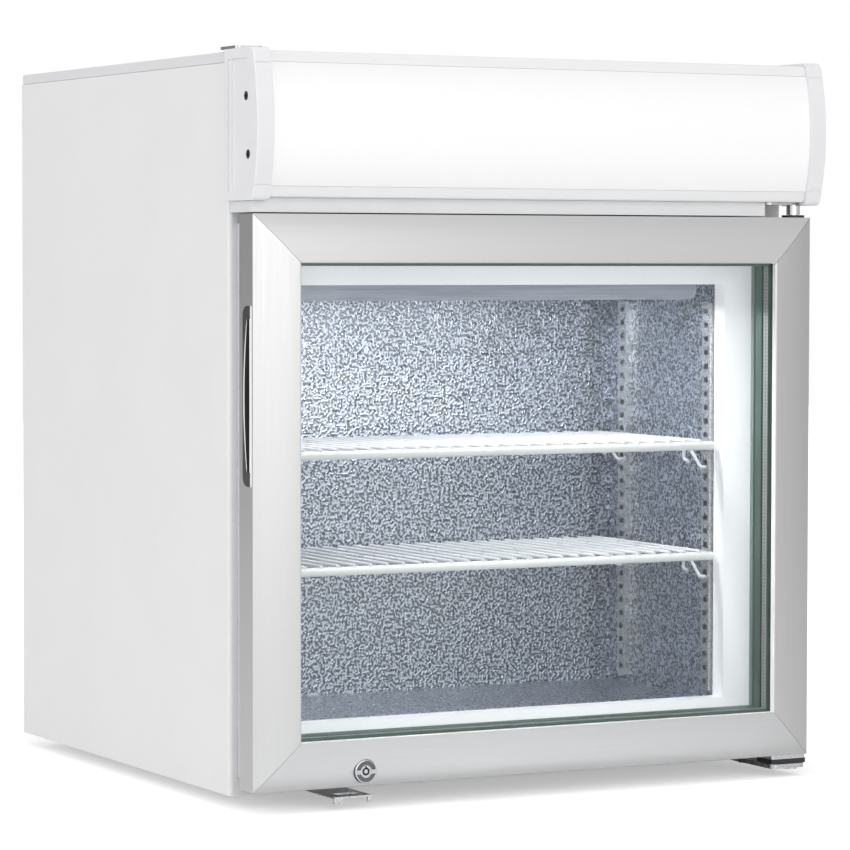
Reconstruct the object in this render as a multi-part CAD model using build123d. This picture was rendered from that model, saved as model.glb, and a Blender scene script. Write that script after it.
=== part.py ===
from build123d import *
import math
import os

# Countertop display freezer with a hinged glass door and an illuminated canopy.
# Millimetres. +Z is up, +X is the hinge side, and the door faces -Y.
# The origin is on the floor, under the middle of the overall width and depth.

# ---------------------------------------------------------------- driving dimensions
CABINET_W = 570.0
CABINET_D = 487.0
CABINET_H = 649.0
OVERALL_D = 556.0  # cabinet and canopy together
FOOT_H = 12.0
SHEET = 1.0  # casing sheet
BEND_R = 4.0  # outside bend of the casing's front corners

DOOR_H = 500.0
DOOR_LIFT = 8.3  # door's underside above the cabinet's underside
DOOR_GAP = 22.0  # cabinet face to the back of the door's frame
RAIL_W = 42.5  # visible width of the door's frame
RAIL_DEPTH_OUT = 27.4  # frame depth at its outer edge
RAIL_DEPTH_IN = 36.0  # frame depth at its inner nose
WALL = 1.8  # extrusion wall
MITRE_GAP = 0.25  # hairline at the corners of the frame
PANE = 4.0  # glass thickness

THROAT_HALF = 234.5  # half the clear width into the cavity
THROAT_H = 389.0
THROAT_LIFT = 57.0
FUNNEL = 25.5  # width of the bevel round the cavity's mouth
FUNNEL_DEPTH = 20.0
THROAT_DEPTH = 38.0
CAVITY_DEPTH = 240.0
CAVITY_STEP = 4.0  # the liner stands this far outside the throat
FOAM_BACK = 300.0  # cabinet face to the back of the insulation
DECK_LIFT = 500.0  # top of the insulation

CANOPY_LIFT = 519.4
CANOPY_H = 131.1
CANOPY_BULGE = 10.5
CAP_PROUD = 4.5  # end caps past the cabinet's sides
CAP_BAND = 16.0
CAP_WALL = 2.5
CAP_CORNER = 13.5  # height of the end cap's corners
CANOPY_SKIN = 2.0
CHIP_PITCH = 30.0  # light sources along a strip
PROFILE_FACE = 9.5  # height of the canopy's two metal profiles

SHELF_LIFTS = {"upper_shelf": 294.0, "lower_shelf": 190.0}  # front bar centres
SHELF_PITCH = 16.5
SHELF_WIRES = 27

HINGE_X = 275.7
HINGE_BACK = 35.0  # hinge axis in front of the cabinet's face
BUSH_R = 4.05
PIN_R = 4.0

LOCK_X = -179.1
LOCK_LIFT = 21.8
CORE_R = 4.8  # turning core of the lock
CAM_REACH = 24.8

# ---------------------------------------------------------------- derived datums
HALF_W = CABINET_W / 2
REAR = OVERALL_D / 2
FRONT = REAR - CABINET_D
BASE = FOOT_H
TOP = BASE + CABINET_H
DOOR_LOW = BASE + DOOR_LIFT
DOOR_TOP = DOOR_LOW + DOOR_H
DOOR_BACK = FRONT - DOOR_GAP
HINGE_Y = FRONT - HINGE_BACK
THROAT_LOW = BASE + THROAT_LIFT
THROAT_TOP = THROAT_LOW + THROAT_H
LINER_HALF = THROAT_HALF + CAVITY_STEP
LINER_LOW = THROAT_LOW - CAVITY_STEP
LINER_TOP = THROAT_TOP + CAVITY_STEP
LINER_BACK = FRONT + CAVITY_DEPTH
BULKHEAD = FRONT + FOAM_BACK
DECK = BASE + DECK_LIFT
COVER_LOW = TOP - 9.2
REAR_PANEL = REAR - 15.0  # outer face of the machine compartment's cover
CAP_LOW = BASE + CANOPY_LIFT
CAP_TOP = CAP_LOW + CANOPY_H
CAP_X = HALF_W + CAP_PROUD
LOCK_Z = BASE + LOCK_LIFT
LOW = Align.MIN
MID = Align.CENTER

# machine compartment
COMPRESSOR_AT = (-150.0, 176.0)
COMPRESSOR_R = 66.0
COMPRESSOR_Z = (29.0, 190.0)
FAN_AT = (145.0, 165.0)  # x, z
FAN_R = 68.0
CONDENSER = ((45.0, 245.0), (198.0, 240.0), (62.0, 268.0))
DRIER_AT = (20.0, 200.0)
CONTROL_X = -12.0
KNOB_Z = 85.0
SWITCH_Z = 140.0
GLAND_AT = (-245.0, 50.0)
COIL_R = 4.0
COIL_BEND = 14.0
COIL_STANDOFF = 7.5  # tube centre off the liner's walls, so that its bends clear the liner's corners
COIL_ENDS = ((150.0, 110.0), (150.0, 410.0))  # x, z where the coil leaves the foam
TUBE_R = 3.2
CAPILLARY_R = 1.5

# shelf supports
RAIL_FRONTS = (FRONT + 41.0, FRONT + 196.0)
RAIL_SIZE = (7.0, 14.0)  # stand-off from the wall, width
CLIP_R = 1.5
SIDE_BAR_X = 226.0

FEET = [(x, y) for x in (-225.0, 225.0) for y in (FRONT + 100.0, REAR - 45.0)]
STRIKE_X = (-207.0, -170.0)
STRIKE_SLOT = (-198.0, -174.2)
STRIKE_SCREWS = [(-188.5, -185.0), (-188.5, -165.0)]
HINGE_PLATE_X = (247.0, 284.0)
HINGE_SCREWS = [(258.0, -190.0), (274.0, -190.0), (266.0, -165.0)]
CAP_SCREWS = [(FRONT - 43.0, BASE + 609.0), (FRONT - 47.0, BASE + 559.0)]  # y, z
SCREW_HOLE_R = 2.2
SLOT_H = 7.0
SLOT_PITCH = 20.0
PANEL_SCREWS = [(x, z) for x in (-270.0, 270.0) for z in (60.0, 340.0, 630.0)]


# ---------------------------------------------------------------- shape helpers
def block(x, y, z):
    """A box from three (low, high) ranges."""
    size = (x[1] - x[0], y[1] - y[0], z[1] - z[0])
    return Pos(x[0], y[0], z[0]) * Box(*size, align=(LOW, LOW, LOW))


def rod(start, end, radius):
    """A round bar from one point to another."""
    run = Vector(*end) - Vector(*start)
    bar = Cylinder(radius, run.length, align=(MID, MID, LOW))
    return Plane(origin=start, z_dir=run) * bar


def tube_run(points, radius, bend):
    """A round tube along straight runs joined by tangent arcs."""
    path = FilletPolyline(*points, radius=bend)
    section = Plane(origin=path @ 0, z_dir=path % 0) * Circle(radius)
    return sweep(section, path=path)


def extrude_x(face, x0, x1):
    """Extrudes a face drawn in (y, z) from x0 to x1."""
    return extrude(Plane.YZ.offset(x0) * face, amount=x1 - x0)


def rectangle_xz(half, low, high, y):
    """A rectangle across the front, at depth y."""
    plane = Plane(origin=(0, y, (low + high) / 2), x_dir=(1, 0, 0), z_dir=(0, 1, 0))
    return plane * Rectangle(2 * half, high - low)


def both_sides(shape):
    """A shape and its mirror image across the middle of the object."""
    return [shape, mirror(shape, about=Plane.YZ)]


def round_edges(shape, axis, radius, chosen=lambda edge: True):
    """Fillets the straight edges that run along an axis."""
    return fillet([e for e in shape.edges().filter_by(axis) if chosen(e)], radius)


def mitred_bar(section, length, gap):
    """A bar of constant section along Z, its ends mitred inwards from x = 0, each short by half the gap."""
    bar = extrude(Pos(0, 0, -length / 2) * section, amount=length)
    half, reach = length / 2 - gap / math.sqrt(2), 60.0
    outline = Polyline((0, -half), (reach, reach - half), (reach, half - reach), (0, half), close=True)
    plane = Plane(origin=(0, 80, 0), x_dir=(1, 0, 0), z_dir=(0, -1, 0))
    wedge = extrude(plane * make_face(outline), amount=160)
    return bar & wedge


def door_bars(section, gap=0.0):
    """The four mitred members of a frame round the door, by side."""
    middle = (DOOR_LOW + DOOR_TOP) / 2
    upright = mitred_bar(section, DOOR_H, gap)
    level = mitred_bar(section, CABINET_W, gap)
    places = {
        "left": ((-HALF_W, DOOR_BACK, middle), (1, 0, 0), (0, 0, -1), upright),
        "right": ((HALF_W, DOOR_BACK, middle), (-1, 0, 0), (0, 0, 1), upright),
        "bottom": ((0, DOOR_BACK, DOOR_LOW), (0, 0, 1), (1, 0, 0), level),
        "top": ((0, DOOR_BACK, DOOR_TOP), (0, 0, -1), (-1, 0, 0), level),
    }
    return {side: Plane(origin=o, x_dir=x, z_dir=z) * bar for side, (o, x, z, bar) in places.items()}


def door_ring(inset, width, back, front):
    """A flat rectangular ring, inset from the door's edge."""
    outer = (HALF_W - inset, DOOR_LOW + inset, DOOR_TOP - inset)
    inner = (outer[0] - width, outer[1] + width, outer[2] - width)
    solids = []
    for half, low, high in (outer, inner):
        solids.append(block((-half, half), (DOOR_BACK - front, DOOR_BACK - back), (low, high)))
    return solids[0] - solids[1]


def at_front_left(edge):
    """True for an edge at the casing's front left corner."""
    return edge.center().X < -HALF_W + 2 and edge.center().Y < 0


# ---------------------------------------------------------------- casing
def side_panel():
    """The left side: one sheet, returned inwards at the front and hemmed at the rear."""
    lip, hem = 22.0, 6.0
    outer = block((-HALF_W, -HALF_W + lip), (FRONT, REAR), (BASE, COVER_LOW - 0.3))
    inner = block((-HALF_W + SHEET, 0), (FRONT + SHEET, REAR - SHEET), (0, TOP))
    outer = round_edges(outer, Axis.Z, BEND_R, at_front_left)
    inner = round_edges(inner, Axis.Z, BEND_R - SHEET, at_front_left)
    rear = block((-HALF_W + hem, 0), (FRONT + 40, REAR + 1), (0, TOP))
    return outer - inner - rear


def top_cover():
    """The roof sheet with a short flange on all four sides."""
    outer = block((-HALF_W, HALF_W), (FRONT, REAR), (COVER_LOW, TOP))
    outer = round_edges(outer, Axis.Z, BEND_R)
    outer = fillet(outer.faces().sort_by(Axis.Z)[-1].edges(), 1.2)
    inner = block((-HALF_W + SHEET, HALF_W - SHEET), (FRONT + SHEET, REAR - SHEET), (0, TOP - SHEET))
    return outer - round_edges(inner, Axis.Z, BEND_R - SHEET)


def base_pan():
    """The floor sheet, flanged up at the front and the rear."""
    floor = block((-HALF_W + SHEET, HALF_W - SHEET), (FRONT + SHEET, REAR_PANEL - 2.2), (BASE, BASE + SHEET))
    floor = round_edges(floor, Axis.Z, BEND_R - SHEET, lambda e: e.center().Y < 0)
    mouth = HALF_W - 22.2
    front = block((-mouth, mouth), (FRONT, FRONT + SHEET), (BASE, THROAT_LOW - FUNNEL - 3.2))
    rear = block((-HALF_W + 8, HALF_W - 8), (REAR_PANEL - 2.2, REAR_PANEL - 1.2), (BASE, BASE + 24))
    holes = [rod((x, y, 0), (x, y, 40), 4.3) for x, y in FEET]
    holes += [rod((x, y, 0), (x, y, 40), SCREW_HOLE_R) for x, y in STRIKE_SCREWS + HINGE_SCREWS]
    return floor + front + rear - holes


def header_panel():
    """The steel front above the cavity, which carries the canopy and the top hinge."""
    half = HALF_W - 22.2
    return block((-half, half), (FRONT, FRONT + SHEET), (THROAT_TOP + FUNNEL + 3.2, COVER_LOW - 0.3))


def bulkhead():
    """The galvanised wall behind the insulation and the deck over it, bent from one sheet."""
    half = HALF_W - SHEET - 0.2
    outer = block((-half, half), (FRONT + SHEET, BULKHEAD + SHEET), (BASE + SHEET, DECK + SHEET))
    outer = round_edges(outer, Axis.X, 4, lambda e: e.center().Y > 0 and e.center().Z > 100)
    outer = round_edges(outer, Axis.Z, BEND_R, lambda e: e.center().Y < 0)
    inner = block((-HALF_W, HALF_W), (FRONT, BULKHEAD), (0, DECK))
    inner = round_edges(inner, Axis.X, 3, lambda e: e.center().Y > 0 and e.center().Z > 100)
    holes = [rod((x, BULKHEAD - 5, z), (x, BULKHEAD + 5, z), COIL_R + 1.5) for x, z in COIL_ENDS]
    return outer - inner - holes


def funnel(grow):
    """The bevelled mouth and straight throat of the cavity as one solid, grown outwards."""
    mouth, rim = THROAT_HALF + FUNNEL, FUNNEL + grow
    bevel = loft([
        rectangle_xz(mouth + grow, THROAT_LOW - rim, THROAT_TOP + rim, FRONT),
        rectangle_xz(THROAT_HALF + grow, THROAT_LOW - grow, THROAT_TOP + grow, FRONT + FUNNEL_DEPTH),
    ])
    half = THROAT_HALF + grow
    depth = (FRONT + FUNNEL_DEPTH, FRONT + THROAT_DEPTH)
    return bevel + block((-half, half), depth, (THROAT_LOW - grow, THROAT_TOP + grow))


def throat_frame():
    """The white breaker frame between the outer casing and the cold liner."""
    clear = block((-THROAT_HALF, THROAT_HALF), (FRONT + 30, FRONT + 60), (THROAT_LOW, THROAT_TOP))
    return funnel(3.0) - funnel(0.0) - clear


def cavity(grow):
    """The liner's box, open at the front, grown outwards."""
    half = LINER_HALF + grow
    depth = (FRONT + THROAT_DEPTH, LINER_BACK + grow)
    return block((-half, half), depth, (LINER_LOW - grow, LINER_TOP + grow))


def liner():
    """The embossed aluminium liner."""
    mouth = block((-LINER_HALF, LINER_HALF), (FRONT, FRONT + 60), (LINER_LOW, LINER_TOP))
    return cavity(1.0) - cavity(0.0) - mouth


def insulation_foam():
    """The polyurethane foam between casing and liner."""
    half = HALF_W - SHEET - 0.2
    outer = block((-half, half), (FRONT + SHEET, BULKHEAD), (BASE + SHEET, DECK))
    outer = round_edges(outer, Axis.Z, BEND_R, lambda e: e.center().Y < 0)
    outer = round_edges(outer, Axis.X, 3.2, lambda e: e.center().Y > 0 and e.center().Z > 100)
    stud_room = [rod((x, y, 0), (x, y, 30), 5) for x, y in FEET if y < 0]
    return outer - cavity(1.0) - funnel(3.0) - stud_room


def slot_rows(columns, low, rows, length):
    """Level ventilation slots through the rear cover: columns of equal rows."""
    slots = []
    for x in columns:
        for row in range(rows):
            place = Pos(x, REAR_PANEL, low + SLOT_PITCH * row) * Rot(90, 0, 0)
            slots.append(place * extrude(SlotOverall(length, SLOT_H), 10, both=True))
    return slots


def rear_panel():
    """The machine compartment's slotted cover."""
    half = HALF_W - SHEET - 0.6
    panel = block((-half, half), (REAR_PANEL - SHEET, REAR_PANEL), (BASE + 1.5, COVER_LOW - 0.6))
    through = (REAR_PANEL - 20, REAR_PANEL + 10)
    cuts = slot_rows((-190.0, -90.0, 90.0, 190.0), 300.0, 16, 84)
    cuts += slot_rows((-150.0, 145.0), 80.0, 9, 150)
    cuts.append(rod((CONTROL_X, through[0], KNOB_Z), (CONTROL_X, through[1], KNOB_Z), 6))
    cuts.append(block((CONTROL_X - 7.2, CONTROL_X + 7.2), through, (SWITCH_Z - 11.2, SWITCH_Z + 11.2)))
    cuts.append(rod((GLAND_AT[0], through[0], GLAND_AT[1]), (GLAND_AT[0], through[1], GLAND_AT[1]), 8.2))
    cuts += [rod((x, through[0], z), (x, through[1], z), SCREW_HOLE_R) for x, z in PANEL_SCREWS]
    return panel - cuts


def foot(x, y):
    """A levelling foot: a round pad and the stud that screws into the base."""
    pad = Pos(x, y, 0) * Cylinder(16, FOOT_H - 0.5, align=(MID, MID, LOW))
    pad = fillet(pad.edges(), 1.5)
    nut = Pos(x, y, FOOT_H - 0.6) * extrude(RegularPolygon(8, 6), amount=0.6)
    return pad + nut + rod((x, y, FOOT_H - 2), (x, y, BASE + 14), 4)


def pan_head(at, head_dir, length):
    """A pan-head screw: at is under its head, and head_dir points out of the head."""
    outwards = Vector(*head_dir)
    base = Vector(*at)
    head = rod(base, base + outwards * 2.6, 4.2)
    head = fillet(head.edges().sort_by_distance(base + outwards * 9)[:1], 1.4)
    drive = [
        Plane(origin=base + outwards * 1.6, x_dir=Plane(base, z_dir=outwards).x_dir, z_dir=outwards)
        * Box(length_a, length_b, 4, align=(MID, MID, LOW))
        for length_a, length_b in ((4.6, 1.0), (1.0, 4.6))
    ]
    return head - drive + rod(base, base - outwards * length, 2)


def pan_head_screws():
    """Identical screws of the rear cover, the strike and the bottom hinge."""
    screws = [pan_head((x, REAR_PANEL, z), (0, 1, 0), 5) for x, z in PANEL_SCREWS]
    screws += [pan_head((x, y, BASE - 1.5), (0, 0, -1), 2.5) for x, y in STRIKE_SCREWS]
    screws += [pan_head((x, y, BASE - 4), (0, 0, -1), 5) for x, y in HINGE_SCREWS]
    return screws


# ---------------------------------------------------------------- canopy
def canopy_outline(inset):
    """The canopy's side profile in (y, z): flat back, bulged front, inset all round but at the back."""
    low, high = CAP_LOW + inset, CAP_TOP - inset
    front = -OVERALL_D / 2 + inset
    shoulder = front + CANOPY_BULGE
    curve = ThreePointArc((shoulder, low), (front, (low + high) / 2), (shoulder, high))
    back = Polyline((shoulder, high), (FRONT - 0.2, high), (FRONT - 0.2, low), (shoulder, low))
    face = make_face(curve + back)
    corners = face.vertices().filter_by_position(Axis.X, front, shoulder + 1)
    return fillet(corners, max(6.0 - inset, 1.0))


def canopy_end():
    """The left end cap: an outer plate with a rim that wraps the profiles and the diffuser."""
    cap = extrude_x(canopy_outline(0), -CAP_X, -CAP_X + CAP_BAND)
    room = extrude_x(canopy_outline(CAP_WALL), -CAP_X + 3, -CAP_X + CAP_BAND + 1)
    cap = fillet((cap - room).faces().sort_by(Axis.X)[0].edges(), 1.0)
    panel = extrude_x(recess_outline(), -CAP_X - 1, -CAP_X + 1.2)
    rib = block((-CAP_X, -CAP_X + 1.5), (FRONT - 17, FRONT - 13), (CAP_LOW + 8, CAP_TOP - 9))
    screws = [rod((-CAP_X - 1, y, z), (-CAP_X + 5, y, z), 2.3) for y, z in CAP_SCREWS]
    cones = [cone_head(y, z, 0.1) for y, z in CAP_SCREWS]
    return cap - panel + rib - screws - cones - cap_grooves()


def cap_grooves():
    """Two hairline grooves that part the end cap's corners from its bulged band."""
    rim = extrude_x(canopy_outline(-1) - canopy_outline(0.5), -CAP_X - 1, -CAP_X + CAP_BAND + 1)
    heights = (CAP_LOW + CAP_CORNER, CAP_TOP - CAP_CORNER)
    return [rim & block((-CAP_X - 1, 0), (-OVERALL_D, FRONT - 20), (z - 0.3, z + 0.3)) for z in heights]


def recess_outline():
    """The sunk panel on the end cap's side, parallel to the bulged front."""
    low, high = CAP_LOW + 8, CAP_TOP - 9
    front, shoulder, back = -OVERALL_D / 2 + 13, -OVERALL_D / 2 + 21, FRONT - 8
    curve = ThreePointArc((shoulder, low), (front, (low + high) / 2), (shoulder, high))
    return make_face(curve + Polyline((shoulder, high), (back, high), (back, low), (shoulder, low)))


def cone_head(y, z, grow):
    """The head of a countersunk screw in the left end cap."""
    x = -CAP_X + 1.2
    cone = Cone(4.0 + grow, 2.0 + grow, 2.0 + grow, align=(MID, MID, LOW))
    return Plane(origin=(x, y, z), x_dir=(0, 1, 0), z_dir=(1, 0, 0)) * cone


def countersunk_screws():
    """The four identical screws that hold the end caps."""
    screws = []
    for y, z in CAP_SCREWS:
        x = -CAP_X + 1.2
        cross = block((x - 1, x + 1.2), (y - 2.2, y + 2.2), (z - 0.5, z + 0.5))
        cross += block((x - 1, x + 1.2), (y - 0.5, y + 0.5), (z - 2.2, z + 2.2))
        screws += both_sides(cone_head(y, z, 0) - cross + rod((x + 1.9, y, z), (x + 13, y, z), 2))
    return screws


def canopy_shell():
    """The thin closed skin between the end caps, before it is parted into its pieces."""
    reach = CAP_X - 3.2
    gap = CAP_WALL + 0.3
    outer = extrude_x(canopy_outline(gap), -reach, reach)
    inner = extrude_x(canopy_outline(gap + CANOPY_SKIN), -reach - 1, reach + 1)
    skin = gap + CANOPY_SKIN
    back = block((-CAP_X, CAP_X), (FRONT - 30, REAR), (CAP_LOW + skin, CAP_TOP - skin))
    return outer - inner - back


def canopy_band(low, high):
    """The stretch of the canopy's skin between two heights."""
    return canopy_shell() & block((-CAP_X, CAP_X), (-OVERALL_D, FRONT), (low, high))


def canopy_top_profile():
    """The upper extrusion, with a ledge behind the diffuser's edge."""
    low = CAP_TOP - 2.8 - PROFILE_FACE
    ledge = block((-CAP_X + 4, CAP_X - 4), (-260.5, -259.3), (low - 6, CAP_TOP - 4.5))
    return canopy_band(low, CAP_TOP) + ledge


def canopy_bottom_profile():
    """The lower extrusion, cut away over the top hinge."""
    high = CAP_LOW + 2.8 + PROFILE_FACE
    ledge = block((-CAP_X + 4, CAP_X - 4), (-260.5, -259.3), (CAP_LOW + 4.5, high + 6))
    pocket = block((HINGE_X - 48, CAP_X), (HINGE_Y - 14, FRONT + 1), (CAP_LOW, CAP_LOW + 6))
    return canopy_band(CAP_LOW, high) + ledge - pocket


def canopy_diffuser():
    """The bulged opal sheet between the two profiles."""
    gap = 2.8 + PROFILE_FACE + 0.25
    return canopy_band(CAP_LOW + gap, CAP_TOP - gap)


def led_strip(half, place):
    """A strip of light sources on its board, lit along the place's +Z."""
    board = Box(2 * half, 10, 1.2, align=(MID, MID, LOW))
    count = int((2 * half - 10) // CHIP_PITCH) + 1
    first = -CHIP_PITCH * (count - 1) / 2
    chip = Box(5, 5, 0.8, align=(MID, MID, LOW))
    return place * (board + [Pos(first + CHIP_PITCH * i, 0, 1.2) * chip for i in range(count)])


def led_strips():
    """Two strips on the header panel behind the diffuser and one on the cavity's ceiling."""
    strips = []
    for height in (42.0, 88.0):
        place = Plane(origin=(0, FRONT, CAP_LOW + height), x_dir=(1, 0, 0), z_dir=(0, -1, 0))
        strips.append(led_strip(250.0, place))
    ceiling = Plane(origin=(0, FRONT + 65, LINER_TOP), x_dir=(1, 0, 0), z_dir=(0, 0, -1))
    return strips + [led_strip(205.0, ceiling)]


def led_driver():
    """The lamp's power supply on the deck behind the header panel."""
    base = DECK + SHEET
    body = block((-80, 80), (-70, -28), (base, base + 30))
    body = fillet(body.edges().filter_by(Axis.Z) + body.faces().sort_by(Axis.Z)[-1].edges(), 2)
    ears = block((-94, 94), (-58, -40), (base, base + 2))
    return body + ears - [rod((x, -49, base - 1), (x, -49, base + 5), SCREW_HOLE_R) for x in (-88, 88)]


def canopy_clip():
    """The flat clip that ties the left end cap to the roof."""
    plate = block((-CAP_X + 1, -HALF_W + 22), (FRONT - 24, FRONT + 12), (CAP_TOP, CAP_TOP + 2.5))
    plate = round_edges(plate, Axis.Z, 4)
    heel = block((-HALF_W + 3, -HALF_W + 20), (FRONT + 1, FRONT + 11), (TOP, CAP_TOP))
    return plate + heel


def header_trim():
    """The strip that fills the gap over the door, open where the hinge pin comes down."""
    low, high = DOOR_TOP + 1.2, CAP_LOW + 2.6
    end = HINGE_X - 39
    front = block((-HALF_W, end), (FRONT - 47.5, FRONT - 46.3), (low, high))
    floor = block((-HALF_W, end), (FRONT - 47.5, FRONT), (low, low + 1.2))
    ends = [block((x, x + 1.2), (FRONT - 47.5, FRONT), (low, high)) for x in (-HALF_W, end - 1.2)]
    under_cap = block((-CAP_X, -CAP_X + CAP_BAND + 0.3), (FRONT - 60, FRONT + 1), (CAP_LOW - 0.2, high + 1))
    return front + floor + ends - under_cap


# ---------------------------------------------------------------- cavity fittings
def shelf_rail(side, y):
    """A slotted upright for the shelf clips, hat-shaped, on one wall of the liner."""
    wall = LINER_HALF
    depth, width = RAIL_SIZE
    z = (LINER_LOW + 8, LINER_TOP - 22)
    rail = block((wall - depth, wall), (y, y + width), z)
    rail -= block((wall - depth + SHEET, wall + 1), (y + SHEET, y + width - SHEET), (0, TOP))
    count = int((z[1] - z[0] - 16) // 13) + 1
    for row in range(count):
        low = z[0] + 6 + 13 * row
        rail -= block((wall - depth - 1, wall - depth + 2), (y + 3.5, y + width - 3.5), (low, low + 5))
    return rail if side > 0 else mirror(rail, about=Plane.YZ)


def shelf_rails():
    """The four identical uprights."""
    return [shelf_rail(side, y) for side in (-1, 1) for y in RAIL_FRONTS]


def shelf_clip(y, shelf_z):
    """A bent-wire support: out of a rail's slot, up under the shelf's side bar, then a curled end."""
    under = shelf_z - 2 - CLIP_R - 0.3
    start = y + RAIL_SIZE[1] / 2
    points = [
        (LINER_HALF - RAIL_SIZE[0], start, under - 17),
        (SIDE_BAR_X, start, under - 17),
        (SIDE_BAR_X, start + 19, under),
        (SIDE_BAR_X, start + 29, under),
        (SIDE_BAR_X, start + 30, under - 11),
        (SIDE_BAR_X, start + 22, under - 13),
    ]
    return tube_run(points, CLIP_R, 3.0)


def shelf_clips():
    """The eight identical shelf supports."""
    clips = []
    for lift in SHELF_LIFTS.values():
        for y in RAIL_FRONTS:
            clips += both_sides(shelf_clip(y, BASE + lift))
    return clips


def wire_shelf(lift):
    """A coated wire shelf: cross wires on top of a frame of bars."""
    z = BASE + lift
    front, rear = FRONT + 33, FRONT + 226
    reach = THROAT_HALF - 2.5
    front_bar = rod((-reach, front, z), (reach, front, z), 4)
    front_bar = fillet(front_bar.edges().filter_by(GeomType.CIRCLE), 3.6)
    bars = [rod((-SIDE_BAR_X - 4, rear, z + 1), (SIDE_BAR_X + 4, rear, z + 1), 3)]
    bars += [rod((x, front, z + 1), (x, rear, z + 1), 3) for x in (-SIDE_BAR_X, SIDE_BAR_X)]
    bars += [rod((-SIDE_BAR_X, y, z + 1.5), (SIDE_BAR_X, y, z + 1.5), 2.5) for y in (front + 64, front + 128)]
    first = -SHELF_PITCH * (SHELF_WIRES - 1) / 2
    for i in range(SHELF_WIRES):
        x = first + SHELF_PITCH * i
        bars.append(rod((x, front - 2.5, z + 5), (x, rear + 2.5, z + 5), 1.6))
    return front_bar + bars


def lamp_cover():
    """The translucent trough under the cavity's ceiling, with a clip at each end."""
    y, z = (FRONT + 46, FRONT + 84), (LINER_TOP - 18.5, LINER_TOP)
    outer = block((-221, 221), y, (z[0], z[1] + 10))
    inner = block((-219, 219), (y[0] + 1.6, y[1] - 1.6), (z[0] + 1.6, z[1] + 20))
    outer = fillet(outer.edges().filter_by(Axis.Y).filter_by_position(Axis.Z, z[0] - 1, z[0] + 1), 9)
    inner = fillet(inner.edges().filter_by(Axis.Y).filter_by_position(Axis.Z, z[0], z[0] + 3), 7.4)
    outer = fillet(outer.faces().sort_by(Axis.Z)[0].edges().filter_by(Axis.X), 4)
    trough = outer - inner - block((-300, 300), (-300, 300), (z[1], z[1] + 30))
    ear = block((219, 229), (y[0] + 10, y[1] - 10), (z[1] - 3, z[1]))
    ear = round_edges(ear, Axis.Z, 4, lambda e: e.center().X > 225)
    return trough + both_sides(ear)


def evaporator_coil():
    """The cold tube wound round the liner's sides and back, in the foam."""
    side = LINER_HALF + 1 + COIL_STANDOFF
    back = LINER_BACK + 1 + COIL_STANDOFF
    front = FRONT + 70
    (x0, z0), (x1, z1) = COIL_ENDS
    turns = 6
    heights = [z0 + (z1 - z0) * i / turns for i in range(turns + 1)]
    points = [(x0, BULKHEAD + 9, z0), (x0, back, z0), (side, back, z0), (side, front, z0)]
    hand = 1
    for z in heights[1:-1]:
        points += [(hand * side, front, z), (hand * side, back, z)]
        hand = -hand
        points += [(hand * side, back, z), (hand * side, front, z)]
    points += [(hand * side, front, z1), (hand * side, back, z1), (x1, back, z1), (x1, BULKHEAD + 9, z1)]
    return tube_run(points, COIL_R, COIL_BEND)


# ---------------------------------------------------------------- machine compartment
def compressor():
    """The sealed compressor: a domed shell on a cross plate, with its tube stubs and terminal cover."""
    x, y = COMPRESSOR_AT
    low, high = COMPRESSOR_Z
    shell = Pos(x, y, low) * Cylinder(COMPRESSOR_R, high - low, align=(MID, MID, LOW))
    shell = fillet(shell.edges().sort_by(Axis.Z)[-1], 40)
    shell = fillet(shell.edges().sort_by(Axis.Z)[0], 20)
    void = Pos(x, y, (low + high) / 2) * Cylinder(52, high - low - 60)
    seam = Pos(x, y, 118) * Cylinder(COMPRESSOR_R + 3, 4)
    plate = block((x - 85, x + 85), (y - 50, y + 50), (low, low + 3))
    plate = round_edges(plate, Axis.Z, 12)
    plate -= [rod((*at, 0), (*at, 60), 7) for at in mount_places()]
    stubs = [rod((x + 55, y + dy, z), (x + 80, y + dy, z), 4.2) for dy, z in ((-16, 150), (14, 130))]
    cover = block((x - 32, x + 32), (y - COMPRESSOR_R - 12, y - 50), (70, 120))
    return shell + seam + plate + stubs + fillet(cover.edges().filter_by(Axis.Z), 4) - void


def mount_places():
    """The compressor's four mounting points, as (x, y)."""
    x, y = COMPRESSOR_AT
    return [(x + dx, y + dy) for dx in (-72, 72) for dy in (-38, 38)]


def compressor_mounts():
    """Four rubber grommets under the compressor's plate."""
    low = BASE + SHEET
    mounts = []
    for at in mount_places():
        body = Pos(*at, low) * Cylinder(12, COMPRESSOR_Z[0] - low, align=(MID, MID, LOW))
        waist = Pos(*at, low + 8) * (Cylinder(14, 3) - Cylinder(9.5, 3))
        neck = Pos(*at, COMPRESSOR_Z[0]) * Cylinder(6.8, 5, align=(MID, MID, LOW))
        mounts.append(body - waist + neck)
    return mounts


def condenser():
    """The finned condenser block with its return bends and stubs."""
    (x0, x1), (y0, y1), (z0, z1) = CONDENSER
    fins = [block((x, x + 1), (y0, y1), (z0, z1)) for x in [x0 + 8 * i for i in range(26)]]
    tubes = []
    for y in (y0 + 11, y1 - 11):
        for row in range(6):
            z = z0 + 19 + 34 * row
            tubes.append(rod((x0 - 4, y, z), (x1 + 4, y, z), 4))
    ends = [block((x, x + 1.5), (y0 - 2, y1 + 2), (z0 - 3, z1 + 3)) for x in (x0 - 1.5, x1)]
    y = (y0 + y1) / 2
    stubs = [rod((x0 - 15, y, z), (x0, y, z), 4) for z in (z0 + 12, z1 - 12)]
    return fins[0] + fins[1:] + tubes + ends + stubs


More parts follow.
